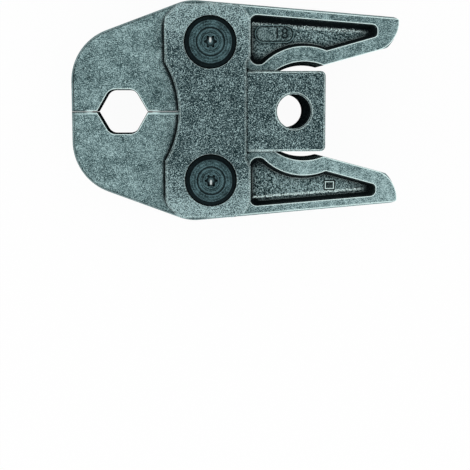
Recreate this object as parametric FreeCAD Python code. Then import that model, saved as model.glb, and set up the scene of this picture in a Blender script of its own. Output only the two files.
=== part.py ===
import FreeCAD, Part
import math
import os

# Press jaw of a pipe fitting press: two forged jaw levers that turn on two pins
# between a pair of T-shaped side plates. All sizes are in millimetres.
# The origin is on the axis of the coupling bore, half way through the thickness.
# X runs from the press head to the lever tails, Y across the two levers, and Z
# along the pins. The jaw is closed and lies flat on its two bottom pin caps.

Vec = FreeCAD.Vector

# Coupling bore, which takes the bolt of the drive unit
bore_d = 14.1
bore_chamfer = 0.6

# Pivot pins
pivot_back = 34.6
pivot_half_span = 28.1
pin_d = 18.0
pin_plate_clearance = 0.02
pin_jaw_clearance = 0.05
pin_end_chamfer = 0.5

# Jaw levers
jaw_thickness = 19.0
jaw_plate_clearance = 0.15
parting_gap = 0.2
forging_draft_deg = 8.8
head_reach = 57.7
head_corner_y = 28.35
head_corner_r = 22.8
shoulder_reach = 8.6
shoulder_y = 46.75
shoulder_r = 20.0
tail_reach = 80.9
tail_outer_y = 39.5
tail_outer_r = 2.2
tail_inner_r = 14.0
tail_inner_y = 28.0
ramp_deg = 15.2
relief_deg = 19.5
kink_reach = 1.0
machining_stock = 1.6
land_stock = 0.7
parting_edge_break = 0.35

# Roller seat behind the ramp of each lever
seat_reach = 39.7
seat_y = -1.0
seat_r = 20.2

# Press opening: a hexagon with corners on the parting plane and a bead groove
press_reach = 36.1
press_flats = 18.1
press_corner_r = 4.0
press_lead_in = 0.3
bead_half_width = 2.5
bead_centre_over_flat = 0.7
bead_lip_r = 0.8

# Weight pocket in both faces of each tail
pocket_depth = 5.5
pocket_draft_deg = 15.0
pocket_before_seat = 22.9
pocket_low_y = 19.3
pocket_lobe_r = 3.4
pocket_high_y = 39.95
pocket_high_r = 3.0
pocket_end = 70.4
pocket_end_high_y = 35.75
pocket_end_low_y = 31.0
pocket_end_high_r = 2.4
pocket_end_low_r = 1.8
pocket_ramp_deg = 15.6
pocket_rib_y = 2.8
pocket_rib_r = 24.1
pocket_rib_corner_r = 3.0

# Closing spring and its blind seats, behind the pivots
spring_reach = 15.0
spring_seat_d = 9.6
spring_seat_bottom = 15.4
spring_clearance = 0.3
spring_wire = 1.4
spring_turns = 5.5
spring_end_gap = 0.1

# Side plates
bar_thickness = 9.0
stem_thickness = 7.0
bar_left_reach = 18.6
bar_past_pivot = 15.4
bar_chamfer_x = 5.5
bar_chamfer_y = 5.5
bar_left_corner_r = 5.0
bar_right_corner_r = 8.0
ear_reach = 16.5
ear_start_y = 22.6
waist_right_reach = 14.85
waist_right_half = 19.8
waist_left_half = 20.2
waist_left_depth = 5.65
stem_half_width = 16.5
stem_past_bore = 13.1
stem_corner_r = 2.1
plate_edge_break = 0.6

# Pin caps and their screws
cap_seat_depth = 3.0
cap_seat_clearance = 0.2
cap_base_d = 20.4
cap_face_d = 17.2
cap_rise = 2.5
cap_edge_break = 0.4
screw_d = 6.0
screw_head_d = 11.2
screw_head_edge = 0.3
screw_clearance = 0.05
screw_length = 14.0
screw_tip_break = 0.4
screw_hole_spare = 1.0
socket_outer_d = 5.4
socket_inner_d = 4.0
socket_lobe_r = 0.62
socket_depth = 2.2
socket_lobes = 6

# Working values of the modelling
over = 1.0
block_length = 3 * (head_reach + tail_reach)
block_depth = 3 * shoulder_y

# Places that follow from the sizes above
pivot_x = -pivot_back
press_x = pivot_x - press_reach
jaw_half = jaw_thickness / 2
plate_inner_z = jaw_half + jaw_plate_clearance
bar_outer_z = plate_inner_z + bar_thickness
stem_outer_z = plate_inner_z + stem_thickness
cap_seat_z = bar_outer_z - cap_seat_depth
cap_top_z = bar_outer_z + cap_rise
draft_inset = jaw_half * math.tan(math.radians(forging_draft_deg))


def rounded_wire(corners, z, inset=0.0):
    """Closed wire at height z from counterclockwise corners (x, y, radius), moved inwards by inset."""
    count = len(corners)
    points = [Vec(x, y, 0) for x, y, radius in corners]
    ways = [(points[(i + 1) % count] - points[i]).normalize() for i in range(count)]
    lines = []
    for point, way in zip(points, ways):
        inward = Vec(-way.y, way.x, 0)
        lines.append((point + inward * inset, way))
    starts = []
    ends = []
    middles = []
    for i in range(count):
        base_a, way_a = lines[i - 1]
        base_b, way_b = lines[i]
        cross = way_a.x * way_b.y - way_a.y * way_b.x
        reach = base_b - base_a
        corner = base_a + way_a * ((reach.x * way_b.y - reach.y * way_b.x) / cross)
        radius = corners[i][2]
        if radius == 0:
            starts.append(corner)
            ends.append(corner)
            middles.append(None)
            continue
        radius = max(radius - inset, 0.1) if cross > 0 else radius + inset
        half_turn = way_a.getAngle(way_b) / 2
        setback = radius * math.tan(half_turn)
        bisector = (way_b - way_a).normalize()
        starts.append(corner - way_a * setback)
        ends.append(corner + way_b * setback)
        middles.append(corner + bisector * (radius / math.cos(half_turn) - radius))
    lift = Vec(0, 0, z)
    edges = []
    for i in range(count):
        if middles[i] is not None:
            edges.append(Part.Arc(starts[i] + lift, middles[i] + lift, ends[i] + lift).toShape())
        following = (i + 1) % count
        edges.append(Part.makeLine(ends[i] + lift, starts[following] + lift))
    return Part.Wire(edges)


def slab(corners, bottom, top):
    """Flat plate between two heights with the given outline."""
    face = Part.Face(rounded_wire(corners, bottom))
    return face.extrude(Vec(0, 0, top - bottom))


def tapered(corners, z_a, inset_a, z_b, inset_b):
    """Solid between two heights whose outline is moved inwards by a different inset at each."""
    wires = [rounded_wire(corners, z_a, inset_a), rounded_wire(corners, z_b, inset_b)]
    return Part.makeLoft(wires, True, True)


def mirrored_z(shape):
    """The same shape on the other side of the middle plane."""
    return shape.mirror(Vec(0, 0, 0), Vec(0, 0, 1))


def mirrored_y(shape):
    """The same shape on the other side of the parting plane."""
    return shape.mirror(Vec(0, 0, 0), Vec(0, 1, 0))


def half_space(x, y, angle_deg):
    """Large block below the line through (x, y) at an angle, for a machined face seen along Z."""
    block = Part.makeBox(block_length, block_depth, block_depth,
                         Vec(-block_length / 2, -block_depth, -block_depth / 2))
    block.rotate(Vec(0, 0, 0), Vec(0, 0, 1), angle_deg)
    block.translate(Vec(x, y, 0))
    return block


def slice_x(low, high):
    """Large block between two places along X."""
    return Part.makeBox(high - low, block_depth, block_depth, Vec(low, -block_depth / 2, -block_depth / 2))


def ramp_y(x):
    """Height of the machined ramp at a place along the tail."""
    slope = math.tan(math.radians(ramp_deg))
    return tail_inner_y + (x - pivot_x - tail_reach) * slope


def relief_y(x):
    """Height of the machined land behind the kink."""
    return (x - pivot_x - kink_reach) * math.tan(math.radians(relief_deg))


def forging_corners():
    """Outline of the forged lever on its middle plane, with stock left on the faces to be machined."""
    ramp_stock = machining_stock / math.cos(math.radians(ramp_deg))
    relief_stock = land_stock / math.cos(math.radians(relief_deg))
    seat_x = pivot_x + seat_reach
    neck_x = seat_x - seat_r / 2
    tail_x = pivot_x + tail_reach
    drop = machining_stock - relief_stock
    kink_x = pivot_x + kink_reach - drop / math.tan(math.radians(relief_deg))
    return [
        (pivot_x - head_reach, -machining_stock, 0),
        (kink_x, -machining_stock, 0),
        (neck_x, relief_y(neck_x) - relief_stock, 0),
        (seat_x, ramp_y(seat_x) - ramp_stock, 0),
        (tail_x, ramp_y(tail_x) - ramp_stock, tail_inner_r),
        (tail_x, tail_outer_y, tail_outer_r),
        (pivot_x - shoulder_reach, shoulder_y, shoulder_r),
        (pivot_x - head_reach, head_corner_y, head_corner_r),
    ]


def forging():
    """Drafted forging of the upper lever, with its parting ridge on the middle plane."""
    corners = forging_corners()
    upper = tapered(corners, 0, 0, jaw_half, draft_inset)
    blank = upper.fuse(mirrored_z(upper))
    seat = Part.makeCone(seat_r, seat_r + draft_inset, jaw_half)
    seat.translate(Vec(pivot_x + seat_reach, seat_y, 0))
    blank = blank.cut(seat).cut(mirrored_z(seat))
    return blank


def pocket_corners():
    """Rim of the weight pocket, which runs on under the seat rib."""
    seat_x = pivot_x + seat_reach
    end_x = pivot_x + pocket_end
    slope = math.tan(math.radians(pocket_ramp_deg))
    seat_line_y = pocket_end_low_y - (end_x - seat_x) * slope
    return [
        (seat_x - pocket_before_seat, pocket_low_y, pocket_lobe_r),
        (seat_x - seat_r / 2, pocket_low_y, 0),
        (seat_x, seat_line_y, 0),
        (end_x, pocket_end_low_y, pocket_end_low_r),
        (end_x, pocket_end_high_y, pocket_end_high_r),
        (seat_x - pocket_before_seat, pocket_high_y, pocket_high_r),
    ]


def pocket():
    """Tool shape of the pocket in the top face: drafted walls, and a rib left round the roller seat."""
    seat_x = pivot_x + seat_reach
    inset = pocket_depth * math.tan(math.radians(pocket_draft_deg))
    floor_z = jaw_half - pocket_depth
    tool = tapered(pocket_corners(), floor_z, inset, jaw_half, 0)
    rib = Part.makeCone(pocket_rib_r + inset, pocket_rib_r, pocket_depth)
    rib.translate(Vec(seat_x, pocket_rib_y, floor_z))
    tool = tool.cut(rib)
    corner = []
    for edge in tool.Edges:
        box = edge.BoundBox
        upright_edge = box.ZLength > pocket_depth - 0.001
        low = box.YMax < pocket_low_y + 2 * inset
        past_lobe = box.XMin > seat_x - pocket_before_seat + pocket_lobe_r
        if upright_edge and low and past_lobe:
            corner.append(edge)
    return tool.makeFillet(pocket_rib_corner_r, corner)


def press_corners():
    """Hexagon of the press opening, with two sharp corners on the parting plane."""
    circum = press_flats / math.sqrt(3)
    corners = []
    for i in range(6):
        angle = math.radians(60 * i)
        radius = 0 if i % 3 == 0 else press_corner_r
        corners.append((press_x + circum * math.cos(angle), circum * math.sin(angle), radius))
    return corners


def bead_groove():
    """Ring tool for the groove that presses the bead of the fitting, with rounded lips."""
    flat = press_flats / 2
    centre_r = flat + bead_centre_over_flat
    lip_z = bead_half_width + bead_lip_r
    lip_r = centre_r - bead_lip_r
    diagonal = bead_lip_r * math.sqrt(0.5)
    inner_r = flat / 2

    def at(radius, z):
        return Vec(radius, 0, z)

    edges = [
        Part.makeLine(at(inner_r, -lip_z), at(lip_r, -lip_z)),
        Part.Arc(at(lip_r, -lip_z), at(centre_r - diagonal, diagonal - lip_z),
                 at(centre_r, -bead_half_width)).toShape(),
        Part.Arc(at(centre_r, -bead_half_width), at(centre_r + bead_half_width, 0),
                 at(centre_r, bead_half_width)).toShape(),
        Part.Arc(at(centre_r, bead_half_width), at(centre_r - diagonal, lip_z - diagonal),
                 at(lip_r, lip_z)).toShape(),
        Part.makeLine(at(lip_r, lip_z), at(inner_r, lip_z)),
        Part.makeLine(at(inner_r, lip_z), at(inner_r, -lip_z)),
    ]
    ring = Part.Face(Part.Wire(edges)).revolve(Vec(0, 0, 0), Vec(0, 0, 1), 360)
    ring.translate(Vec(press_x, 0, 0))
    return ring


def press_opening():
    """Everything that is cut for the pipe and fitting: hexagon, lead-ins and bead groove."""
    corners = press_corners()
    tool = slab(corners, -jaw_half - over, jaw_half + over)
    lead = tapered(corners, jaw_half - press_lead_in, 0, jaw_half + over, -press_lead_in - over)
    tool = tool.fuse([lead, mirrored_z(lead), bead_groove()])
    return tool


def upright(diameter, bottom, top, x, y):
    """Cylinder along Z."""
    return Part.makeCylinder(diameter / 2, top - bottom, Vec(x, y, bottom), Vec(0, 0, 1))


def countersink(diameter, chamfer, z, x, y):
    """Cone that breaks the upper edge of a bore at height z."""
    radius = diameter / 2
    return Part.makeCone(radius, radius + 2 * chamfer, 2 * chamfer, Vec(x, y, z - chamfer), Vec(0, 0, 1))


def parting_groove():
    """V that breaks the outer edges of the parting face."""
    size = parting_edge_break
    start = pivot_x - head_reach - over
    wire = Part.makePolygon([
        Vec(start, -size, jaw_half + size), Vec(start, -size, jaw_half - 2 * size),
        Vec(start, 2 * size, jaw_half + size), Vec(start, -size, jaw_half + size),
    ])
    prism = Part.Face(wire).extrude(Vec(over + head_reach + kink_reach, 0, 0))
    prism.translate(Vec(0, parting_gap / 2, 0))
    return prism


def jaw():
    """The upper lever, forged and then machined."""
    body = forging()
    body = body.cut(half_space(0, parting_gap / 2, 0))
    seat_x = pivot_x + seat_reach
    land = half_space(pivot_x + kink_reach, parting_gap / 2, relief_deg)
    body = body.cut(land.common(slice_x(pivot_x, seat_x)))
    ramp = half_space(pivot_x + tail_reach, tail_inner_y, ramp_deg)
    body = body.cut(ramp.common(slice_x(seat_x, seat_x + tail_reach)))
    body = body.cut(press_opening())
    bore = pin_d + 2 * pin_jaw_clearance
    pivot_y = pivot_half_span
    pivot_bore = upright(bore, -jaw_half - over, jaw_half + over, pivot_x, pivot_y)
    bevel = countersink(bore, pin_end_chamfer, jaw_half, pivot_x, pivot_y)
    seat = Part.makeCylinder(spring_seat_d / 2, spring_seat_bottom + over,
                             Vec(pivot_x + spring_reach, -over, 0), Vec(0, 1, 0))
    groove = parting_groove()
    tools = [pivot_bore, bevel, mirrored_z(bevel), seat, groove, mirrored_z(groove)]
    for tool in tools:
        body = body.cut(tool)
    hollow = pocket()
    body = body.cut(hollow).cut(mirrored_z(hollow))
    return body.removeSplitter()


def bar_corners():
    """Crossbar of a side plate, which carries both pins."""
    left = pivot_x - bar_left_reach
    ear = pivot_x + ear_reach
    waist = pivot_x + waist_right_reach
    high = pivot_half_span + bar_past_pivot
    return [
        (waist, -waist_right_half, 0),
        (waist, waist_right_half, 0),
        (ear, ear_start_y, 0),
        (ear, high, bar_right_corner_r),
        (left + bar_chamfer_x, high, bar_left_corner_r),
        (left, high - bar_chamfer_y, bar_left_corner_r),
        (left, bar_chamfer_y - high, bar_left_corner_r),
        (left + bar_chamfer_x, -high, bar_left_corner_r),
        (ear, -high, bar_right_corner_r),
        (ear, -ear_start_y, 0),
    ]


def stem_corners():
    """Stem of a side plate, which reaches past the coupling bore."""
    return [
        (stem_past_bore, -stem_half_width, stem_corner_r),
        (stem_past_bore, stem_half_width, stem_corner_r),
        (pivot_x, stem_half_width, 0),
        (pivot_x, -stem_half_width, 0),
    ]


def waist_cut():
    """Cylinder that hollows the head side of the crossbar."""
    depth = waist_left_depth
    half = waist_left_half
    radius = (half * half + depth * depth) / (2 * depth)
    centre_x = pivot_x - bar_left_reach + depth - radius
    return upright(2 * radius, plate_inner_z - over, bar_outer_z + over, centre_x, 0)


def side_plate():
    """The top side plate: thick crossbar, thinner stem, pin holes with cap seats, coupling bore."""
    bar = slab(bar_corners(), plate_inner_z, bar_outer_z).cut(waist_cut())
    stem = slab(stem_corners(), plate_inner_z, stem_outer_z)
    plate = bar.fuse(stem).removeSplitter()
    rim = []
    for edge in plate.Edges:
        box = edge.BoundBox
        flat = box.ZLength < 0.001
        outer = abs(box.ZMin - bar_outer_z) < 0.001
        on_stem = abs(box.ZMin - stem_outer_z) < 0.001 and box.XMax > pivot_x + ear_reach
        if flat and (outer or on_stem):
            rim.append(edge)
    plate = plate.makeChamfer(plate_edge_break, rim)
    low = plate_inner_z - over
    high = bar_outer_z + over
    tools = [
        upright(bore_d, low, high, 0, 0),
        countersink(bore_d, bore_chamfer, stem_outer_z, 0, 0),
    ]
    for side in (1, -1):
        y = side * pivot_half_span
        seat_d = cap_base_d + 2 * cap_seat_clearance
        tools.append(upright(pin_d + 2 * pin_plate_clearance, low, high, pivot_x, y))
        tools.append(upright(seat_d, cap_seat_z, high, pivot_x, y))
        tools.append(countersink(seat_d, cap_edge_break, bar_outer_z, pivot_x, y))
    for tool in tools:
        plate = plate.cut(tool)
    return plate


def pivot_pin():
    """Pin at the upper pivot, with a screw hole in each end."""
    pin = upright(pin_d, -cap_seat_z, cap_seat_z, pivot_x, pivot_half_span)
    pin = pin.makeChamfer(pin_end_chamfer, pin.Edges)
    hole_d = screw_d + 2 * screw_clearance
    bottom = cap_top_z - screw_length - screw_hole_spare
    hole = upright(hole_d, bottom, cap_seat_z + over, pivot_x, pivot_half_span)
    return pin.cut(hole).cut(mirrored_z(hole))


def turned(profile):
    """Solid turned about Z from closed (radius, z) points, standing at the upper pivot."""
    points = [Vec(radius, 0, z) for radius, z in profile]
    wire = Part.makePolygon(points + [points[0]])
    solid = Part.Face(wire).revolve(Vec(0, 0, 0), Vec(0, 0, 1), 360)
    solid.translate(Vec(pivot_x, pivot_half_span, 0))
    return solid


def pin_cap():
    """Cap that stands proud of its seat in the top side plate, countersunk for its screw."""
    base_r = cap_base_d / 2
    face_r = cap_face_d / 2
    head_r = screw_head_d / 2 + screw_clearance
    hole_r = screw_d / 2 + screw_clearance
    edge = cap_edge_break
    return turned([
        (hole_r, cap_seat_z),
        (base_r, cap_seat_z),
        (base_r, bar_outer_z),
        (face_r + edge, cap_top_z - edge),
        (face_r, cap_top_z),
        (head_r, cap_top_z),
        (head_r, cap_top_z - screw_head_edge),
        (hole_r, cap_top_z - screw_head_edge - (head_r - hole_r)),
    ])


def socket():
    """Six-lobed recess for the driver, on the upper pivot."""
    lobe_reach = socket_outer_d / 2 - socket_lobe_r
    bottom = cap_top_z - socket_depth
    top = cap_top_z + over
    tool = upright(socket_inner_d, bottom, top, pivot_x, pivot_half_span)
    lobes = []
    for i in range(socket_lobes):
        angle = 2 * math.pi * i / socket_lobes
        x = pivot_x + lobe_reach * math.cos(angle)
        y = pivot_half_span + lobe_reach * math.sin(angle)
        lobes.append(upright(2 * socket_lobe_r, bottom, top, x, y))
    return tool.fuse(lobes).removeSplitter()


def cap_screw():
    """Countersunk screw that holds the cap on the end of the pin."""
    head_r = screw_head_d / 2
    shank_r = screw_d / 2
    cone_z = cap_top_z - screw_head_edge
    tip_z = cap_top_z - screw_length
    screw = turned([
        (0, tip_z),
        (shank_r - screw_tip_break, tip_z),
        (shank_r, tip_z + screw_tip_break),
        (shank_r, cone_z - (head_r - shank_r)),
        (head_r, cone_z),
        (head_r, cap_top_z),
        (0, cap_top_z),
    ])
    return screw.cut(socket())


def closing_spring():
    """Coil that pushes the tails apart, from the bottom of one seat to the other."""
    coil_r = (spring_seat_d - 2 * spring_clearance - spring_wire) / 2
    reach = spring_seat_bottom - spring_end_gap - spring_wire / 2
    pitch = 2 * reach / spring_turns
    helix = Part.makeHelix(pitch, 2 * reach, coil_r)
    section = Part.Wire(Part.makeCircle(spring_wire / 2, Vec(coil_r, 0, 0), Vec(0, 1, 0)))
    spring = Part.Wire(helix).makePipeShell([section], True, True)
    spring.translate(Vec(0, 0, -reach))
    spring.rotate(Vec(0, 0, 0), Vec(1, 0, 0), -90)
    spring.translate(Vec(pivot_x + spring_reach, 0, 0))
    return spring


def export(name, shape):
    """Write one piece to its own file."""
    shape.exportStep(os.path.join("parts", name + ".step"))
    print(name, "solids", len(shape.Solids), "valid", shape.isValid(), "volume", round(shape.Volume, 1))


def main():
    os.makedirs("parts", exist_ok=True)
    upper_jaw = jaw()
    export("upper_jaw", upper_jaw)
    export("lower_jaw", mirrored_y(upper_jaw))
    plate = side_plate()
    export("top_side_plate", plate)
    export("bottom_side_plate", mirrored_z(plate))
    pin = pivot_pin()
    export("upper_pivot_pin", pin)
    export("lower_pivot_pin", mirrored_y(pin))
    cap = pin_cap()
    screw = cap_screw()
    for name, piece in (("cap", cap), ("cap_screw", screw)):
        export("upper_top_" + name, piece)
        export("upper_bottom_" + name, mirrored_z(piece))
        export("lower_top_" + name, mirrored_y(piece))
        export("lower_bottom_" + name, mirrored_z(mirrored_y(piece)))
    export("closing_spring", closing_spring())


main()
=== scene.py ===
import math

import bpy
from bpy.props import FloatProperty, FloatVectorProperty, PointerProperty, StringProperty
from mathutils import Matrix, Vector


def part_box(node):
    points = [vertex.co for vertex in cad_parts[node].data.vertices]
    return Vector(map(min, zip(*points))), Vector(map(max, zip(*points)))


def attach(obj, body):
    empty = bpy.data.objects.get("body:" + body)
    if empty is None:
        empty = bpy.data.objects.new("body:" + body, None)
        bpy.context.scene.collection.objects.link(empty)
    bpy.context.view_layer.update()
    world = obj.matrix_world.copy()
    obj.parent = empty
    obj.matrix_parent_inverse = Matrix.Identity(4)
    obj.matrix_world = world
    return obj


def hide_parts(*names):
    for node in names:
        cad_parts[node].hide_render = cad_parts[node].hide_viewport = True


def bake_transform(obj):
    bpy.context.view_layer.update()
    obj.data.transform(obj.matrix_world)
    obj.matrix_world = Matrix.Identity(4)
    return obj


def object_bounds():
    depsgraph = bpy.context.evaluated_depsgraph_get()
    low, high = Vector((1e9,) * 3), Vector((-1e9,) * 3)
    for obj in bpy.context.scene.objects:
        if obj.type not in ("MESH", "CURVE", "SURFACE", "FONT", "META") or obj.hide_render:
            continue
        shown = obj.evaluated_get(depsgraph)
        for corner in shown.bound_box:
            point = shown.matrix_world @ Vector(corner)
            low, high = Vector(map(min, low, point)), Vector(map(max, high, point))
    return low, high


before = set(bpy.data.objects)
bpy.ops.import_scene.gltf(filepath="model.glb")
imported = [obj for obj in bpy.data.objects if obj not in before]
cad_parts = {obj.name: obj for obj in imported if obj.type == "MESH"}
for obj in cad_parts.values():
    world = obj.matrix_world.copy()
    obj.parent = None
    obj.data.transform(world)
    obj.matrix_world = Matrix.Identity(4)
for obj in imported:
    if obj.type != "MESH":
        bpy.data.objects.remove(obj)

bl_info = {
    "name": "Press jaw",
    "version": (1, 1, 0),
    "blender": (4, 5, 0),
    "location": "3D View > Sidebar > Press jaw",
    "description": "Finishes, marks, spring and studio for a press fitting tool jaw",
    "category": "Object",
}

MM = 0.001
cad_low, cad_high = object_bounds()
pin_low, pin_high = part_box("upper_pivot_pin")
pivot = (pin_low + pin_high) / 2
jaw_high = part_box("upper_jaw")[1]
cap_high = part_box("upper_top_cap")[1]
screw_low, screw_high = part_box("upper_top_cap_screw")
spring_low, spring_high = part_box("closing_spring")

# Places that the finishes follow: the press opening, the coupling bore and the upper roller seat
press_x = -70.7 * MM
press_reach = 12 * MM
bore_reach = 7.5 * MM
seat_centre = Vector((5.1, -1.0)) * MM
seat_r = 20.2 * MM

# Where areas along the jaw begin: the free heads, the noses, the plates' stem and the tails
head_x = -38 * MM
nose_x = -90 * MM
stem_x = -14 * MM
tail_x = 10 * MM

# Sizes of the patterns in the skin
cloud_size = 9 * MM
smear_size = 3.2 * MM
wear_size = 1.5 * MM
grain_depth = 0.05 * MM

# Points this near each other count as one, and edges sharper than this angle stay sharp
touching = 0.001 * MM
sharp = math.radians(40)


def srgb(red, green, blue):
    """A colour as a picture shows it, from 0 to 255, in Blender's linear scale."""
    return tuple(((c / 255 + 0.055) / 1.055) ** 2.4 for c in (red, green, blue))


def scaled(colour, amount):
    """The colour made darker or lighter."""
    return tuple(min(1.0, part * amount) for part in colour)


def colour_property(name, text, colour):
    """A colour that a user may change."""
    return FloatVectorProperty(name=name, description=text, subtype="COLOR", default=colour, min=0, max=1)


def length_property(name, text, millimetres):
    """A length that a user may change."""
    return FloatProperty(name=name, description=text, unit="LENGTH", default=millimetres * MM, min=0)


# Sizes and colours a user would change


class PressJawFinish(bpy.types.PropertyGroup):
    dark: colour_property("Dark grain", "Colour of the dark grains of the phosphated skin", srgb(22, 36, 39))
    middle: colour_property("Middle tone", "Colour between the grains of the jaw levers", srgb(86, 112, 114))
    light: colour_property("Light grain", "Colour of the bright grains of the skin", srgb(176, 202, 203))
    plate: colour_property("Plate tone", "Colour between the grains of the side plates", srgb(60, 82, 86))
    # The bright edge colour serves for wear and for painted highlights: on edges, beside the foot of the
    # pocket walls and on the mark frame.
    wear_and_highlight: colour_property("Worn edge", "Colour of the bright edges", srgb(224, 246, 244))
    # The hollow colour is painted shade: it goes into corners, hollows, pocket walls and under the plates,
    # where shade falls.
    shade: colour_property("Hollow", "Colour of the soot and oil in corners and hollows", srgb(13, 19, 21))
    cap: colour_property("Caps", "Colour of the blackened pin caps and screws", srgb(50, 68, 71))
    ground: colour_property("Ground steel", "Colour of the ground pins", srgb(160, 168, 170))
    spring: colour_property("Spring", "Colour of the spring wire", srgb(140, 150, 152))
    grain: length_property("Grain", "Size of one grain of the skin", 0.38)
    edge_width: length_property("Edge width", "Width of the worn band along an edge", 0.52)


class PressJawMarks(bpy.types.PropertyGroup):
    digits: StringProperty(name="Size mark", description="Plain number in the upper pocket", default="18")
    digit_height: length_property("Digit height", "Height of the digits", 4.4)
    relief: length_property("Relief", "Height of the marks over the pocket floor", 0.45)
    floor_depth: length_property("Pocket depth", "Depth of the pocket floor under the face", 5.5)
    line: length_property("Line", "Width of the raised lines", 0.5)
    plaque_place: FloatVectorProperty(name="Plaque place", description="Centre of the size plaque",
                                      subtype="TRANSLATION", unit="LENGTH", size=2,
                                      default=(-6.9 * MM, 32.25 * MM))
    plaque_size: FloatVectorProperty(name="Plaque size", description="Length and height of the plaque",
                                     unit="LENGTH", size=2, default=(15.7 * MM, 6.5 * MM))
    digits_off: length_property("Digits off centre", "How far the digits stand right of the centre", 2.7)
    window_place: FloatVectorProperty(name="Window place", description="Centre of the rectangular mark",
                                      subtype="TRANSLATION", unit="LENGTH", size=2,
                                      default=(16.8 * MM, -31.5 * MM))
    window_size: FloatVectorProperty(name="Window size", description="Length and height of that mark",
                                     unit="LENGTH", size=2, default=(3.9 * MM, 3.35 * MM))


class PressJawSpring(bpy.types.PropertyGroup):
    wire: length_property("Wire", "Diameter of the spring wire", 1.4)
    turns: FloatProperty(name="Turns", description="Turns of each half of the spring", default=3,
                         min=1, max=12)


class PressJawStage(bpy.types.PropertyGroup):
    lens: FloatProperty(name="Lens", description="Focal length on a 36 mm sensor", default=83.42,
                        min=20, max=300)
    camera_place: FloatVectorProperty(name="Camera", description="Place of the camera",
                                      subtype="TRANSLATION", unit="LENGTH",
                                      default=(-0.05471, 0.00313, 0.46604))
    camera_turn: FloatVectorProperty(name="Camera turn", description="Tilt of the camera from straight down",
                                     subtype="EULER", unit="ROTATION",
                                     default=[math.radians(turn) for turn in (-6.858, -3.851, -0.134)])
    floor_size: FloatProperty(name="Floor", description="Width of the floor", unit="LENGTH",
                              default=3.0, min=0.5, max=10)


class PressJawSettings(bpy.types.PropertyGroup):
    finish: PointerProperty(type=PressJawFinish)
    marks: PointerProperty(type=PressJawMarks)
    spring: PointerProperty(type=PressJawSpring)
    stage: PointerProperty(type=PressJawStage)


# Materials


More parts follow.
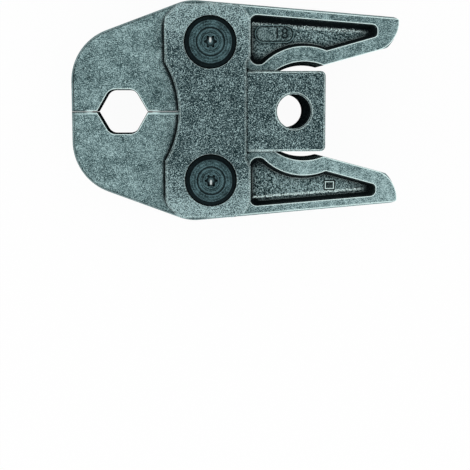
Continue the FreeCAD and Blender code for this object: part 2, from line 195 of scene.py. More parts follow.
class Finish:
    """A material under construction, with short ways to add and join its nodes."""

    def __init__(self, name):
        self.material = bpy.data.materials.new(name)
        self.material.use_nodes = True
        self.tree = self.material.node_tree
        self.shader = self.tree.nodes["Principled BSDF"]
        coordinates = self.node("ShaderNodeTexCoord")
        self.place = coordinates.outputs["Object"]
        self.up = self.size(self.split(coordinates.outputs["Normal"])[2])

    def node(self, kind, settings=None, **inputs):
        """Adds a node. Inputs are sockets to join or plain values, keyed by name or by _index."""
        made = self.tree.nodes.new(kind)
        for key, value in (settings or {}).items():
            setattr(made, key, value)
        for key, value in inputs.items():
            socket = made.inputs[int(key[1:])] if key[0] == "_" else made.inputs[key]
            self.set(socket, value)
        return made

    def set(self, socket, value):
        """Joins a socket to another or gives it a plain value."""
        if isinstance(value, bpy.types.NodeSocket):
            self.tree.links.new(value, socket)
        elif socket.type == "RGBA":
            socket.default_value = (*value, 1.0)
        else:
            socket.default_value = value

    def math(self, operation, a, b=0.0, clamp=False):
        settings = {"operation": operation, "use_clamp": clamp}
        return self.node("ShaderNodeMath", settings, _0=a, _1=b).outputs[0]

    def joined(self, operation, values):
        """The values taken together two by two."""
        result = values[0]
        for value in values[1:]:
            result = self.math(operation, result, value)
        return result

    def times(self, *values):
        return self.joined("MULTIPLY", values)

    def plus(self, *values):
        return self.joined("ADD", values)

    def most(self, *values):
        """The largest of the values."""
        return self.joined("MAXIMUM", values)

    def less(self, a, b):
        return self.math("SUBTRACT", a, b)

    def inverse(self, value):
        return self.math("SUBTRACT", 1.0, value, True)

    def size(self, value):
        """The value without its sign."""
        return self.math("ABSOLUTE", value)

    def split(self, vector):
        """The three parts of a vector."""
        parts = self.node("ShaderNodeSeparateXYZ", Vector=vector).outputs
        return parts["X"], parts["Y"], parts["Z"]

    def vector_math(self, operation, **inputs):
        return self.node("ShaderNodeVectorMath", {"operation": operation}, **inputs).outputs

    def noise(self, grain, detail=2.0, rough=0.5, place=None):
        """Noise whose features are about grain metres wide."""
        made = self.node("ShaderNodeTexNoise", Vector=place or self.place, Scale=1 / grain,
                         Detail=detail, Roughness=rough)
        return made.outputs["Fac"]

    def sum_of(self, base, *parts):
        """The base plus each (noise, weight), with the noise counted from its middle value."""
        total = base
        for value, weight in parts:
            total = self.plus(total, self.times(self.less(value, 0.5), weight))
        return total

    def fade(self, value, start, end, at_start=0.0, at_end=1.0):
        """Runs from one number to another as the value goes from start to end, and holds outside."""
        made = self.node("ShaderNodeMapRange", Value=value)
        names = ("From Min", "From Max", "To Min", "To Max")
        for name, number in zip(names, (start, end, at_start, at_end)):
            made.inputs[name].default_value = number
        return made.outputs["Result"]

    def band(self, value, middle, half, soft):
        """1 where the value is within half of the middle, falling to 0 over soft."""
        return self.fade(self.size(self.less(value, middle)), half + soft, half)

    def ramp(self, value, *colours):
        """Colour that runs evenly through the given ones as the value goes from 0 to 1."""
        made = self.node("ShaderNodeValToRGB", Fac=value)
        elements = made.color_ramp.elements
        for i in range(len(colours) - 2):
            elements.new((i + 1) / (len(colours) - 1))
        for stop, colour in zip(elements, colours):
            stop.color = (*colour, 1.0)
        return made.outputs["Color"]

    def mix(self, amount, a, b):
        """Colour a where the amount is 0, colour b where it is 1."""
        made = self.node("ShaderNodeMix", {"data_type": "RGBA"}, _0=amount)
        self.set(made.inputs[6], a)
        self.set(made.inputs[7], b)
        return made.outputs[2]

    def edges(self, width):
        """1 along edges, 0 on open faces."""
        rounded = self.node("ShaderNodeBevel", {"samples": 8}, Radius=width).outputs["Normal"]
        flat = self.node("ShaderNodeNewGeometry").outputs["Normal"]
        return self.fade(self.vector_math("DOT_PRODUCT", _0=rounded, _1=flat)["Value"], 0.998, 0.984)

    def hollow(self, reach, open_level, deep_level):
        """0 where a place is as open as the first level, 1 where it is as shut in as the second."""
        made = self.node("ShaderNodeAmbientOcclusion", {"samples": 8}, Distance=reach)
        return self.fade(made.outputs["AO"], open_level, deep_level)

    def bump(self, height, depth, strength):
        return self.node("ShaderNodeBump", Height=height, Distance=depth, Strength=strength).outputs["Normal"]

    def from_axis(self, x, y):
        """Place seen from an upright axis, and its distance from that axis."""
        centred = self.node("ShaderNodeMapping", Vector=self.place, Location=(-x, -y, 0)).outputs[0]
        level = self.vector_math("MULTIPLY", _0=centred, _1=(1, 1, 0))["Vector"]
        return centred, self.vector_math("LENGTH", _0=level)["Value"]

    def length_of(self, x, y):
        """Length of the line from the origin to a point of the plane."""
        level = self.node("ShaderNodeCombineXYZ", X=x, Y=y).outputs[0]
        return self.vector_math("LENGTH", _0=level)["Value"]

    def metal(self, skin, dark, share, rough, normal):
        """Metal that turns matt where the painted shade lies, so that it stays dark, with little shine at a
        flat angle.
        """
        lit = self.fade(dark, 0.0, 0.8, share, 0.0)
        open_metal = self.times(lit, self.fade(self.up, 0.2, 0.8, 0.2, 1.0))
        return self.finish(Base_Color=skin, Metallic=open_metal, Roughness=rough, Normal=normal,
                           Specular_IOR_Level=0.0, Specular_Tint=(0.85, 0.85, 0.85))

    def finish(self, **inputs):
        """Joins the named inputs of the shader and returns the material."""
        for key, value in inputs.items():
            self.set(self.shader.inputs[key.replace("_", " ")], value)
        return self.material


# Blasted and phosphated steel


def blasted_skin(f, middle, settings, strength, lift=0.0, rich=0.0):
    """Colour, roughness, normal and fine noise of a skin of bright and dark grains with clouds of tone.

    strength is the contrast of the grains, lift raises the tone and rich adds bright flecks.
    """
    fine = f.noise(settings.grain, 2.0, 0.65)
    coarse = f.noise(settings.grain * 2.6, 2.0, 0.5)
    clouds = f.noise(cloud_size, 4.0, 0.6)
    smears = f.noise(smear_size, 3.0, 0.55)
    grains = f.times(f.sum_of(0.0, (fine, 4.4), (coarse, 1.1)), strength)
    tone = f.plus(f.sum_of(0.5, (clouds, 0.9), (smears, 0.6)), lift, grains)
    skin = f.ramp(tone, settings.dark, middle, settings.light)
    flecks = f.fade(f.plus(f.noise(settings.grain * 1.6, 1.0, 0.5), rich), 0.64, 0.74, 0.0, 0.7)
    skin = f.mix(flecks, skin, scaled(settings.light, 1.25))
    rough = f.fade(fine, 0.35, 0.65, 0.42, 0.60)
    normal = f.bump(f.sum_of(0.5, (fine, 0.7), (coarse, 0.6)), grain_depth, 0.5)
    return skin, rough, normal, fine


def level_faces(f):
    """1 on faces that lie level."""
    return f.fade(f.up, 0.75, 0.95)


def steep_faces(f):
    """1 on walls."""
    return f.fade(f.up, 0.75, 0.4)


def inner_walls(f, depth):
    """Painted shade: 1 on the walls of pockets and of the coupling bore, and all over the press opening under
    the face.
    """
    _, bore = f.from_axis(0, 0)
    _, press = f.from_axis(press_x, 0)
    hidden = f.most(f.hollow(18 * MM, 0.88, 0.68), f.fade(bore, bore_reach + 1 * MM, bore_reach))
    rim_fade = f.fade(depth, jaw_high.z, jaw_high.z - 2 * MM, 0.86, 1.0)
    below_face = f.fade(depth, jaw_high.z - 0.03 * MM, jaw_high.z - 0.1 * MM)
    near_press = f.fade(press, press_reach + 1 * MM, press_reach)
    return f.most(f.times(steep_faces(f), hidden, rim_fade), f.times(near_press, below_face))


def corner_shade(f):
    """1 in the corners between faces."""
    return f.hollow(2.2 * MM, 0.74, 0.66)


def edge_wear_and_highlight(f, width, corner, inside, fine, spread):
    """Bright edges, partly wear and partly painted highlight, broken by the grains and left out in dark
    places.
    """
    grains = f.fade(fine, 0.3, 0.5, 0.7, 1.0)
    return f.times(f.edges(width), f.inverse(corner), f.inverse(inside), grains, spread)


def painted_shade(f, skin, rough, normal, dark, settings):
    """Darkens the skin with painted shade in corners, hollows and on walls, and makes the material."""
    skin = f.mix(f.times(dark, 0.97), skin, settings.shade)
    return f.metal(skin, dark, 0.65, rough, normal)


def plate_steel(settings):
    """Skin of the side plates, darker at the middle, with painted shade on the inner faces and walls, and
    bright edges of wear and painted highlight, brightest on the stem.
    """
    f = Finish("phosphated_plate")
    x, y, z = f.split(f.place)
    depth = f.size(z)
    lift = f.fade(f.size(y), 22 * MM, 38 * MM, -0.24, 0.16)
    skin, rough, normal, fine = blasted_skin(f, settings.plate, settings, 1.15, lift)
    # Painted shade on the plates' inner faces, which face the levers.
    inner_face = f.fade(depth, jaw_high.z + 0.7 * MM, jaw_high.z + 0.5 * MM)
    inside = f.most(inner_walls(f, depth), inner_face)
    corner = corner_shade(f)
    on_stem = f.fade(x, stem_x - 6 * MM, stem_x, 0.28, 0.9)
    patches = f.fade(f.noise(wear_size), 0.35, 0.6, 0.5, 1.1)
    stem_root = f.fade(x, 4 * MM, -4 * MM, 1.0, 1.4)
    spread = f.times(on_stem, patches, stem_root, 0.85)
    edge = edge_wear_and_highlight(f, settings.edge_width, corner, inside, fine, spread)
    skin = f.mix(edge, skin, settings.wear_and_highlight)
    return painted_shade(f, skin, rough, normal, f.most(inside, corner), settings)


def pocket_foot():
    """Two points of the foot of the pocket's outer wall, from the upper lever's own mesh."""
    floor_z = jaw_high.z - settings_of(bpy.context).marks.floor_depth
    points = [v.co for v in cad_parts["upper_jaw"].data.vertices if abs(v.co.z - floor_z) < 0.05 * MM]
    start = min(points, key=lambda p: p.x - p.y)
    end = max(points, key=lambda p: p.x + 2 * p.y)
    return start, end


def pocket_floor(f, depth, floor_z):
    """1 on the floors of the pockets."""
    return f.times(f.band(depth, floor_z, 0.3 * MM, 0.2 * MM), level_faces(f))


def by_lever(f, y, lower, upper):
    """One value on the lower lever and another on the upper one."""
    return f.fade(y, -2 * MM, 2 * MM, lower, upper)


def parting_line(f, x, y):
    """A lip beside the line where the two levers meet, partly wear and partly a painted highlight on its
    chamfer, and the dark line itself.
    """
    wave = f.times(f.less(f.noise(wear_size), 0.5), 0.5 * MM)
    strength = f.fade(x, press_x + 8 * MM, press_x + 11 * MM, 0.5, 0.8)
    head = f.fade(x, head_x - 7 * MM, head_x - 10 * MM)
    lip = f.times(f.band(f.plus(y, wave), -0.4 * MM, 0.6 * MM, 0.35 * MM), strength, head)
    thin = f.times(f.band(y, 0, 0.1 * MM, 0.15 * MM), f.fade(f.noise(2 * MM), 0.4, 0.55, 0.0, 0.5), head)
    return lip, thin


def foot_line(f, x, y, floor, foot):
    """A painted highlight of bright flecks along the fillet beside the foot of the pockets' outer walls, and
    the painted shadow between.
    """
    start, end = foot
    along = (end - start).normalized()
    across = f.plus(f.times(f.less(x, start.x), -along.y), f.times(f.less(f.size(y), start.y), along.x))
    off_wall = 1.35 * MM
    wave = f.times(f.less(f.noise(1.2 * MM), 0.5), 1.6 * MM)
    offset = f.times(f.plus(across, wave, off_wall), by_lever(f, y, 1.0, 0.7))
    ends = f.fade(x, end.x - 1 * MM, end.x - 5 * MM)
    flecks = f.fade(f.less(f.noise(0.5 * MM, 1.0), by_lever(f, y, 0.0, 0.08)), 0.40, 0.52)
    fillet_highlight = f.times(f.band(offset, 0, 0.3 * MM, 0.3 * MM), floor, ends, flecks)
    shadow = f.times(f.fade(across, -1.5 * MM, -0.6 * MM), floor, by_lever(f, y, 0.5, 1.0))
    return fillet_highlight, shadow


def lever_steel(settings, foot):
    """Skin of the jaw levers, with painted shade on the pocket floors, walls and corners, a lip of wear and
    painted highlight at the parting line, and bright pocket rims, partly wear and partly painted highlight.
    """
    f = Finish("phosphated_forging")
    x, y, z = f.split(f.place)
    side, depth = f.size(y), f.size(z)
    level = level_faces(f)
    floor = pocket_floor(f, depth, foot[0].z)
    # Painted light: the tail of the lower lever is a little lighter, as if lit from below.
    lower_tail = f.times(f.fade(x, tail_x - 25 * MM, tail_x), by_lever(f, y, 0.16, 0.0))
    # Painted shade: the pocket floors are made darker.
    lift = f.plus(lower_tail, f.times(floor, -0.27))
    strength = f.fade(floor, 0, 1, 0.8, 1.28)
    rich = f.times(floor, 0.05)
    skin, rough, normal, fine = blasted_skin(f, settings.middle, settings, strength, lift, rich)

    beside_plate = f.times(f.fade(x, head_x + 6 * MM, head_x), f.fade(side, 40 * MM, 35 * MM, 0.2, 1.0))
    plate_shadow = f.times(f.hollow(2.4 * MM, 0.82, 0.74), level, f.inverse(floor), beside_plate)
    # Painted shade on the pocket floors, strongest beside their walls.
    floor_corner = f.times(f.hollow(3.2 * MM, 0.76, 0.63), floor)
    floor_shade = f.times(f.hollow(5 * MM, 0.86, 0.62), floor, 0.7)
    fillet_highlight, foot_shadow = foot_line(f, x, y, floor, foot)
    corner = f.most(corner_shade(f), floor_corner, floor_shade, plate_shadow, foot_shadow)

    lip, thin = parting_line(f, x, y)
    not_steep = f.fade(f.up, 0.5, 0.65)
    # Painted highlight, partly wear, on the lip beside the parting line.
    skin = f.mix(f.times(lip, not_steep), skin, scaled(settings.light, 1.15))
    corner = f.times(corner, f.inverse(f.times(f.math("MULTIPLY", lip, 1.6, True), not_steep)))
    corner = f.most(corner, thin)

    # Painted shade on the walls of the roller seats.
    seat = f.length_of(f.less(x, seat_centre.x), f.less(side, seat_centre.y))
    seat_wall = f.times(steep_faces(f), f.fade(seat, seat_r + 1 * MM, seat_r + 0.5 * MM))
    inside = f.most(inner_walls(f, depth), seat_wall)
    _, press = f.from_axis(press_x, 0)
    outline = f.times(f.fade(x, head_x + 4 * MM, head_x), f.fade(press, 14 * MM, 16 * MM))
    edge = edge_wear_and_highlight(f, settings.edge_width * 1.35, corner, inside, fine, f.inverse(outline))
    skin = f.mix(edge, skin, settings.wear_and_highlight)
    # Painted highlight along the foot of the pocket walls.
    skin = f.mix(fillet_highlight, skin, settings.wear_and_highlight)

    # Painted shade along the outer edges of the heads and on the noses, darker on the upper lever.
    outline_shade = f.times(f.edges(settings.edge_width), outline, 0.8)
    nose = f.times(f.fade(x, nose_x + 1 * MM, nose_x), by_lever(f, y, 0.5, 1.0))
    nose_shade = f.times(f.edges(settings.edge_width * 1.6), nose)
    corner = f.most(f.times(corner, f.inverse(fillet_highlight)), outline_shade, nose_shade)
    return painted_shade(f, skin, rough, normal, f.most(inside, corner), settings)


def mark_steel(name, middle, settings, strength):
    """Skin of a small forged mark, of one tone with fine grains."""
    f = Finish(name)
    skin, rough, normal, _ = blasted_skin(f, middle, settings, strength)
    skin = f.mix(1 - strength, skin, middle)
    return f.finish(Base_Color=skin, Metallic=0.65, Roughness=rough, Normal=normal, Specular_IOR_Level=0.0)


# Turned, ground and drawn steel


def turned_steel(name, colour, settings, centre, socket=False):
    """Blackened turned steel with tool marks round an axis along Z, painted shade on its conical flank and in
    its hollows, and painted highlights on the rim of the screw head and along the face's edge.
    """
    f = Finish(name)
    mark_pitch = 0.55 * MM
    cap_cloud = 3.5 * MM
    centred, radius = f.from_axis(centre.x, centre.y)
    marks = f.noise(mark_pitch, 2.0, 0.6, f.node("ShaderNodeCombineXYZ", X=radius).outputs[0])
    fine = f.noise(settings.grain, 2.0, 0.6)
    clouds = f.noise(cap_cloud, 2.0, 0.5)
    tone = f.sum_of(0.47, (marks, 3.4), (fine, 2.6), (clouds, 1.1))
    skin = f.ramp(tone, scaled(colour, 0.25), colour, scaled(colour, 2.8))
    head_r = (screw_high.x - screw_low.x) / 2
    face = f.fade(f.up, 0.7, 0.95)
    # Painted highlight: a lighter ring just inside the rim of the screw head, and a lighter band along the
    # face's edge.
    lip = f.times(f.band(radius, head_r - 0.75 * MM, 0.15 * MM, 0.3 * MM), face, 0.35)
    skin = f.mix(lip, skin, scaled(colour, 2.4))
    edge = f.times(f.edges(settings.edge_width * 0.8), face, f.fade(clouds, 0.4, 0.6, 0.3, 0.9))
    skin = f.mix(edge, skin, scaled(colour, 3.2))
    seam = f.times(f.band(radius, head_r, 0.16 * MM, 0.22 * MM), face)
    # Painted shade on the flank and in the hollows; the seam is a dark joint.
    dark = f.most(f.inverse(face), seam, f.hollow(2.2 * MM, 0.85, 0.45))
    if socket:
        glint = socket_glint(f, centre, radius, face)
        dark = f.times(dark, f.inverse(glint))
        # Painted highlight in the socket.
        skin = f.mix(glint, skin, (0.6, 0.66, 0.66))
    skin = f.mix(f.times(dark, 0.9), skin, settings.shade)
    f.finish(Anisotropic=0.6, Tangent=f.vector_math("CROSS_PRODUCT", _0=(0, 0, 1), _1=centred)["Vector"])
    return f.metal(skin, dark, 0.75, f.fade(fine, 0.3, 0.7, 0.30, 0.44), f.bump(marks, 0.02 * MM, 0.5))


def socket_glint(f, centre, radius, face):
    """A painted glint: a bright streak on the bottom of a screw's socket, on the side away from the middle of
    the jaw.
    """
    x, y, z = f.split(f.place)
    deep = f.fade(f.size(z), cap_high.z - 1.5 * MM, cap_high.z - 2.1 * MM)
    bottom = f.times(deep, face, f.fade(radius, 2.0 * MM, 1.7 * MM))
    outward = f.times(y, math.copysign(1, centre.y))
    streak = f.band(f.less(x, centre.x), 0, 0.3 * MM, 0.25 * MM)
    return f.times(bottom, streak, f.fade(outward, abs(centre.y) - 0.4 * MM, abs(centre.y) + 0.2 * MM))


def bright_steel(name, colour, grain):
    """Bare ground or drawn steel with fine grinding noise and painted shade in its hollows."""
    f = Finish(name)
    fine = f.noise(grain, 3.0, 0.6)
    skin = f.ramp(f.sum_of(0.5, (fine, 1.6)), scaled(colour, 0.5), colour, scaled(colour, 1.5))
    # Painted shade in the hollows.
    skin = f.mix(f.hollow(3 * MM, 0.9, 0.35), skin, scaled(colour, 0.2))
    return f.finish(Base_Color=skin, Metallic=0.9, Roughness=f.fade(fine, 0.3, 0.7, 0.22, 0.38),
                    Normal=f.bump(fine, 0.01 * MM, 0.4))


def dress(nodes, material):
    """Gives CAD nodes a material."""
    for name in nodes:
        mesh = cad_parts[name].data
        if not mesh.materials:
            mesh.materials.append(material)
        for i in range(len(mesh.materials)):
            mesh.materials[i] = material


def settings_of(context):
    """The sizes and colours that a user may change."""
    return context.scene.press_jaw


# Modelling helpers


def start_piece(name):
    """Names the object just added and enters edit mode with nothing selected."""
    piece = bpy.context.object
    piece.name = name
    piece.data.name = name
    bpy.ops.object.mode_set(mode="EDIT")
    return piece


def pick_vertices(piece, chosen):
    """Selects the vertices whose place passes a test, and nothing else."""
    bpy.ops.mesh.select_mode(type="VERT")
    bpy.ops.mesh.select_all(action="DESELECT")
    bpy.ops.object.mode_set(mode="OBJECT")
    for vertex in piece.data.vertices:
        vertex.select = chosen(vertex.co)
    bpy.ops.object.mode_set(mode="EDIT")


def settle(piece):
    """Leaves edit mode with outward normals and the object's place in its mesh."""
    bpy.ops.object.mode_set(mode="EDIT")
    bpy.ops.mesh.select_all(action="SELECT")
    bpy.ops.mesh.normals_make_consistent(inside=False)
    bpy.ops.object.mode_set(mode="OBJECT")
    bpy.ops.object.select_all(action="DESELECT")
    piece.select_set(True)
    bpy.context.view_layer.objects.active = piece
    bpy.ops.object.transform_apply(location=True, rotation=True, scale=True)


def raise_outline(piece, line, relief):
    """Gives a flat outline its height, as a frame where a line width is given, and softens its edges."""
    bpy.ops.mesh.select_all(action="SELECT")
    if line:
        bpy.ops.mesh.inset(thickness=line)
        bpy.ops.mesh.delete(type="FACE")
        bpy.ops.mesh.select_all(action="SELECT")
    bpy.ops.mesh.extrude_region_move(TRANSFORM_OT_translate={"value": (0, 0, relief)})
    bpy.ops.object.mode_set(mode="OBJECT")
    bevel = piece.modifiers.new("bevel", "BEVEL")
    bevel.width = relief * 0.3
    bevel.segments = 2
    bevel.limit_method = "ANGLE"
    bevel.angle_limit = sharp
    bpy.ops.object.modifier_apply(modifier=bevel.name)
    settle(piece)


# Pieces


class PRESSJAW_OT_levers(bpy.types.Operator):
    """Finish the two forged jaw levers"""
    bl_idname = "press_jaw.levers"
    bl_label = "Jaw levers"

    def execute(self, context):
        dress(["upper_jaw", "lower_jaw"], lever_steel(settings_of(context).finish, pocket_foot()))
        return {"FINISHED"}


class PRESSJAW_OT_marks(bpy.types.Operator):
    """Model the size plaque, its digits and the rectangular mark on the pocket floors"""
    bl_idname = "press_jaw.marks"
    bl_label = "Forged marks"

    def execute(self, context):
        settings = settings_of(context)
        finish = settings.finish
        marks = settings.marks
        # The lip and the frame carry painted highlights, lighter tones on the tops of the raised lines.
        lip = mark_steel("mark_lip", scaled(finish.middle, 1.9), finish, 0.7)
        frame_highlight = mark_steel("mark_frame", finish.wear_and_highlight, finish, 0.25)
        # Dark sheets of painted shade: one just inside the plaque's lip, one under and round the rectangular
        # frame.
        groove_shade = mark_steel("mark_groove", scaled(finish.middle, 0.16), finish, 0.3)
        window_shade = mark_steel("mark_well", scaled(finish.middle, 0.12), finish, 0.3)
        pad = mark_steel("mark_pad", scaled(finish.middle, 0.62), finish, 0.8)
        # The digits are dark with painted shade, standing for the shade round raised digits.
        digit_shade = mark_steel("mark_digits", scaled(finish.dark, 0.55), finish, 0.3)
        line = marks.line
        high = marks.relief
        low = high * 0.3
        around = Vector((2 * line, 2 * line))
        plaque = marks.plaque_place
        plaque_size = Vector(marks.plaque_size)
        window = marks.window_place
        window_size = Vector(marks.window_size)
        pieces = [
            (self.stadium("plaque_pad", plaque, plaque_size, 0, low), pad, "upper_lever"),
            (self.stadium("plaque_groove", plaque, plaque_size, line, low * 1.5), groove_shade, "upper_lever"),
            (self.stadium("plaque_lip", plaque, plaque_size + around, line * 0.7, high), lip, "upper_lever"),
            (self.digits(marks), digit_shade, "upper_lever"),
            (self.block("window_pad", window, window_size + around, 0, low), window_shade, "lower_lever"),
            (self.block("window_lip", window, window_size, line * 0.85, high), frame_highlight, "lower_lever"),
        ]
        for piece, skin, body in pieces:
            piece.data.materials.clear()
            piece.data.materials.append(skin)
            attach(piece, body)
        return {"FINISHED"}

    def foot(self):
        """Height just under the pocket floor, from which the marks rise."""
        sink = 0.05 * MM
        return jaw_high.z - settings_of(bpy.context).marks.floor_depth - sink

    def stadium(self, name, place, size, line, relief):
        """Plate with round ends, or a frame of it where a line width is given."""
        length, height = size
        bpy.ops.object.select_all(action="DESELECT")
        bpy.ops.mesh.primitive_circle_add(vertices=48, radius=height / 2, fill_type="NGON",
                                          location=(*place, self.foot()))
        piece = start_piece(name)
        shift = (length - height) / 2
        for side in (1, -1):
            pick_vertices(piece, lambda point, side=side: point.x * side > touching)
            bpy.ops.transform.translate(value=(side * shift, 0, 0))
        raise_outline(piece, line, relief)
        return piece

    def block(self, name, place, size, line, relief):
        """Rectangular plate, or a frame of it where a line width is given."""
        bpy.ops.object.select_all(action="DESELECT")
        bpy.ops.mesh.primitive_plane_add(size=1, location=(*place, self.foot()))
        piece = start_piece(name)
        bpy.ops.mesh.select_all(action="SELECT")
        bpy.ops.transform.resize(value=(*size, 1))
        raise_outline(piece, line, relief)
        return piece

    def digits(self, marks):
        """Raised digits, made a mesh from plain text. A digit fills only a share of the text's size."""
        digit_share = 0.7
        bpy.ops.object.select_all(action="DESELECT")
        x, y = marks.plaque_place
        height = marks.relief * 0.8
        bpy.ops.object.text_add(location=(x + marks.digits_off, y, self.foot() + height / 2))
        text = bpy.context.object.data
        text.body = marks.digits
        text.align_x = "CENTER"
        text.align_y = "CENTER"
        text.size = marks.digit_height / digit_share
        text.extrude = height / 2
        text.offset = 0.06 * MM
        bpy.ops.object.convert(target="MESH")
        piece = start_piece("size_digits")
        bpy.ops.mesh.select_all(action="SELECT")
        bpy.ops.mesh.remove_doubles(threshold=touching)
        settle(piece)
        return piece


class PRESSJAW_OT_plates(bpy.types.Operator):
    """Finish the two side plates"""
    bl_idname = "press_jaw.plates"
    bl_label = "Side plates"

    def execute(self, context):
        dress(["top_side_plate", "bottom_side_plate"], plate_steel(settings_of(context).finish))
        return {"FINISHED"}


class PRESSJAW_OT_caps(bpy.types.Operator):
    """Finish the pins, their caps and their screws"""
    bl_idname = "press_jaw.caps"
    bl_label = "Pins, caps and screws"

    def execute(self, context):
        finish = settings_of(context).finish
        dress(["upper_pivot_pin", "lower_pivot_pin"],
              bright_steel("ground_pin", finish.ground, 0.5 * MM))
        for side, sign in (("upper", 1), ("lower", -1)):
            centre = Vector((pivot.x, sign * pivot.y, 0))
            skin = turned_steel(side + "_turned_cap", finish.cap, finish, centre)
            screw = turned_steel(side + "_blackened_screw", finish.cap, finish, centre, True)
            dress([side + "_top_cap", side + "_bottom_cap"], skin)
            dress([side + "_top_cap_screw", side + "_bottom_cap_screw"], screw)
        return {"FINISHED"}


class PRESSJAW_OT_spring(bpy.types.Operator):
    """Model the closing spring as two halves, the lower one a copy of the upper turned over"""
    bl_idname = "press_jaw.spring"
    bl_label = "Closing spring"

    def execute(self, context):
        settings = settings_of(context)
        upper = self.half_coil(settings.spring)
        lower = upper.copy()
        lower.data = upper.data.copy()
        lower.name = "spring_lower_half"
        context.scene.collection.objects.link(lower)
        middle = (spring_low + spring_high) / 2
        turn = Matrix.Translation(middle) @ Matrix.Rotation(math.pi, 4, "X") @ Matrix.Translation(-middle)
        lower.data.transform(turn)
        skin = bright_steel("spring_wire", settings.finish.spring, 0.3 * MM)
        for half, body, side in ((upper, "upper_lever", 1), (lower, "lower_lever", -1)):
            half.data.materials.append(skin)
            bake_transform(half)
        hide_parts("closing_spring")
        return {"FINISHED"}

    def half_coil(self, sizes):
        """Coil from the parting plane to the bottom of the upper lever's seat, with a flat ground end."""
        middle = (spring_low + spring_high) / 2
        wire_r = sizes.wire / 2
        steps_a_turn = 20
        coil_r = (spring_high.x - spring_low.x) / 2 - wire_r
        length = spring_high.y - middle.y
        bpy.ops.object.select_all(action="DESELECT")
        bpy.ops.mesh.primitive_circle_add(vertices=12, radius=wire_r, location=(0, 0, 0),
                                          rotation=(math.radians(90), 0, 0))
        piece = start_piece("spring_upper_half")
        bpy.ops.object.mode_set(mode="OBJECT")
        bpy.ops.object.transform_apply(location=False, rotation=True, scale=False)
        bpy.ops.object.mode_set(mode="EDIT")
        bpy.ops.mesh.select_all(action="SELECT")
        bpy.ops.transform.translate(value=(coil_r, 0, 0))
        bpy.ops.object.mode_set(mode="OBJECT")
        screw = piece.modifiers.new("coil", "SCREW")
        screw.axis = "Z"
        screw.angle = 2 * math.pi * sizes.turns
        screw.screw_offset = length
        screw.steps = int(steps_a_turn * sizes.turns)
        screw.render_steps = screw.steps
        bpy.ops.object.modifier_apply(modifier=screw.name)
        piece.rotation_euler = (math.radians(-90), 0, 0)
        piece.location = middle
        bpy.ops.object.transform_apply(location=True, rotation=True, scale=False)
        bpy.ops.object.mode_set(mode="EDIT")
        bpy.ops.mesh.select_all(action="SELECT")
        bpy.ops.mesh.bisect(plane_co=(middle.x, spring_high.y, 0), plane_no=(0, 1, 0),
                            clear_outer=True, use_fill=True)
        bpy.ops.mesh.select_all(action="DESELECT")
        bpy.ops.mesh.select_non_manifold(extend=False)
        bpy.ops.mesh.edge_face_add()
        bpy.ops.object.mode_set(mode="OBJECT")
        settle(piece)
        bpy.ops.object.shade_smooth_by_angle(angle=sharp)
        return piece


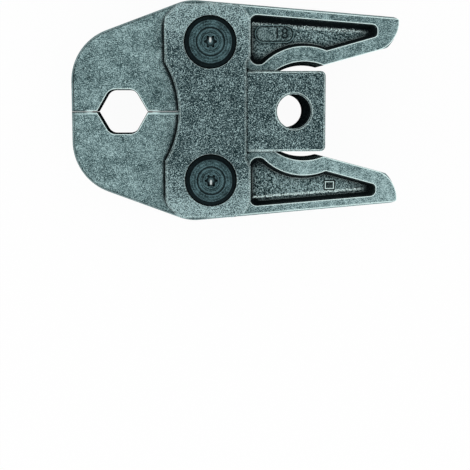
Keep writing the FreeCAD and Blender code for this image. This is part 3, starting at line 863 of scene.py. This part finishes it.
class PRESSJAW_OT_stage(bpy.types.Operator):
    """Add the floor, the lights and the camera"""
    bl_idname = "press_jaw.stage"
    bl_label = "Stage"

    def execute(self, context):
        stage = settings_of(context).stage
        scene = context.scene
        scene.view_settings.view_transform = "Standard"
        self.add_floor(stage)
        self.light_world(scene)
        self.add_light("overhead_softbox", place=(-0.08, 0.10, 0.75), size=0.6, power=0.35)
        self.add_light("front_softbox", place=(0.10, -0.75, 0.28), size=0.5, power=2.0)
        self.add_light("side_softbox", place=(-0.75, 0.20, 0.35), size=0.5, power=1.0)
        lens = bpy.data.cameras.new("camera")
        lens.sensor_width = 36
        lens.lens = stage.lens
        lens.clip_start = 0.01
        lens.clip_end = 20
        camera = bpy.data.objects.new("camera", lens)
        scene.collection.objects.link(camera)
        camera.location = stage.camera_place
        camera.rotation_euler = stage.camera_turn
        scene.camera = camera
        return {"FINISHED"}

    def seen(self, tree):
        """1 for rays from the camera, a mirror or glass, 0 for the light on the object."""
        ray = tree.nodes.new("ShaderNodeLightPath")
        total = ray.outputs["Is Camera Ray"]
        for name in ("Is Glossy Ray", "Is Transmission Ray"):
            add = tree.nodes.new("ShaderNodeMath")
            add.operation = "ADD"
            add.use_clamp = True
            tree.links.new(total, add.inputs[0])
            tree.links.new(ray.outputs[name], add.inputs[1])
            total = add.outputs[0]
        return total

    def add_floor(self, stage):
        """A pale floor that catches the light and shadow of the studio and looks almost white itself."""
        glow_share = 0.95
        bpy.ops.object.select_all(action="DESELECT")
        bpy.ops.mesh.primitive_grid_add(x_subdivisions=4, y_subdivisions=4, size=stage.floor_size,
                                        location=(0, 0, cad_low.z - 0.02 * MM))
        floor = bpy.context.object
        floor.name = "floor"
        material = bpy.data.materials.new("floor")
        material.use_nodes = True
        tree = material.node_tree
        tree.nodes.clear()
        out = tree.nodes.new("ShaderNodeOutputMaterial")
        paper = tree.nodes.new("ShaderNodeBsdfDiffuse")
        paper.inputs["Color"].default_value = (0.9, 0.9, 0.9, 1)
        glow = tree.nodes.new("ShaderNodeEmission")
        share = tree.nodes.new("ShaderNodeMath")
        share.operation = "MULTIPLY"
        share.inputs[1].default_value = glow_share
        tree.links.new(self.seen(tree), share.inputs[0])
        mix = tree.nodes.new("ShaderNodeMixShader")
        tree.links.new(share.outputs[0], mix.inputs[0])
        tree.links.new(paper.outputs[0], mix.inputs[1])
        tree.links.new(glow.outputs[0], mix.inputs[2])
        tree.links.new(mix.outputs[0], out.inputs[0])
        floor.data.materials.append(material)

    def light_world(self, scene):
        """An even white surround, a little weaker as light on the object than where it is seen."""
        world = bpy.data.worlds.new("studio")
        scene.world = world
        world.use_nodes = True
        tree = world.node_tree
        level = tree.nodes.new("ShaderNodeMapRange")
        tree.links.new(self.seen(tree), level.inputs["Value"])
        level.inputs["To Min"].default_value = 0.75
        level.inputs["To Max"].default_value = 1.0
        tree.links.new(level.outputs[0], tree.nodes["Background"].inputs["Strength"])
        tree.nodes["Background"].inputs["Color"].default_value = (1, 1, 1, 1)

    def add_light(self, name, place, size, power):
        """A round area light that is aimed at the middle of the jaw."""
        data = bpy.data.lights.new(name, "AREA")
        data.shape = "DISK"
        data.size = size
        data.energy = power
        light = bpy.data.objects.new(name, data)
        bpy.context.scene.collection.objects.link(light)
        light.location = place
        aim = Vector((-0.02, 0, 0)) - Vector(place)
        light.rotation_euler = aim.to_track_quat("-Z", "Y").to_euler()


STEPS = (PRESSJAW_OT_levers, PRESSJAW_OT_marks, PRESSJAW_OT_plates, PRESSJAW_OT_caps, PRESSJAW_OT_spring,
         PRESSJAW_OT_stage)


class PRESSJAW_PT_panel(bpy.types.Panel):
    """Steps that dress the press jaw"""
    bl_label = "Press jaw"
    bl_idname = "PRESSJAW_PT_panel"
    bl_space_type = "VIEW_3D"
    bl_region_type = "UI"
    bl_category = "Press jaw"

    def draw(self, context):
        settings = settings_of(context)
        for step in STEPS:
            self.layout.operator(step.bl_idname)
        for group in (settings.finish, settings.marks, settings.spring, settings.stage):
            box = self.layout.box()
            for name in group.__annotations__:
                box.prop(group, name)


CLASSES = (PressJawFinish, PressJawMarks, PressJawSpring, PressJawStage, PressJawSettings, *STEPS,
           PRESSJAW_PT_panel)


def register():
    for cls in CLASSES:
        bpy.utils.register_class(cls)
    bpy.types.Scene.press_jaw = PointerProperty(type=PressJawSettings)


def unregister():
    del bpy.types.Scene.press_jaw
    for cls in reversed(CLASSES):
        bpy.utils.unregister_class(cls)


def main():
    """Registers the add-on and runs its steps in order."""
    register()
    for step in STEPS:
        group, name = step.bl_idname.split(".")
        getattr(getattr(bpy.ops, group), name)()


if __name__ == "__main__":
    main()
